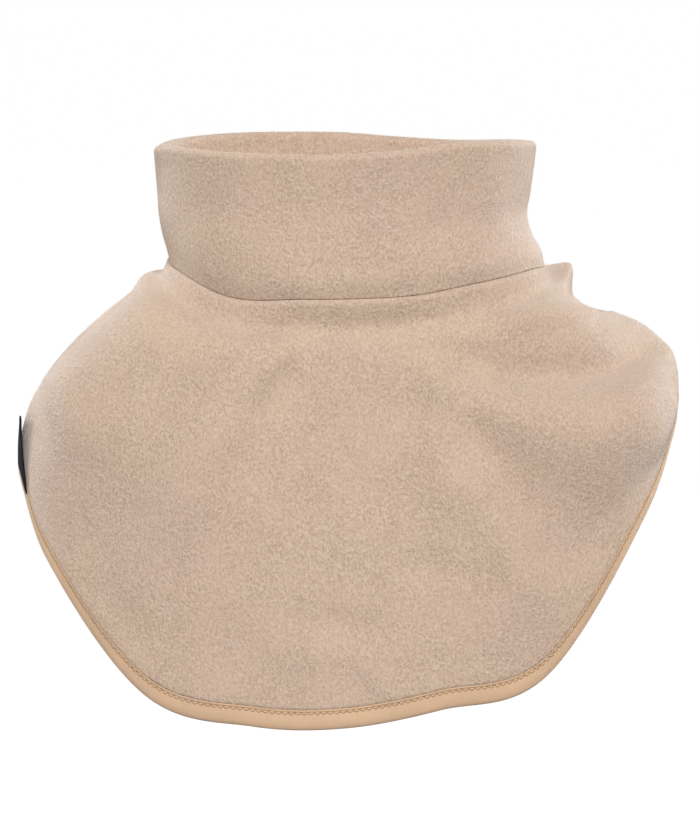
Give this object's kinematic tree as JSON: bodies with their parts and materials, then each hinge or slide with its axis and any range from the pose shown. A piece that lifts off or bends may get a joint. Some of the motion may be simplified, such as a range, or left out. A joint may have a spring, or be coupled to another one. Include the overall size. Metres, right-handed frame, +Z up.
{
  "type": "neck warmer",
  "caption": "Child's fleece neck warmer in its worn form: a doubled stand-up collar on a yoke with rounded front and back bibs, a bound hem and a side tab.",
  "frame": {"origin": "middle of the neck opening, level with the collar seam at the sides, where the warmer sits on the wearer's neck", "axes": "+Z up along the neck, -Y the way the wearer faces, +X to the right as seen from the front"},
  "size_m": [0.3278, 0.2165, 0.2741],
  "materials": {
    "fleece": "short-napped beige fleece, matt",
    "binding": "smooth elastic tape, slightly shiny",
    "tab": "black woven tape"
  },
  "bodies": {
    "root": {"collar": "fleece", "yoke": "fleece", "hem_binding": "binding", "side_tab": "tab"}
  },
  "joints": []
}
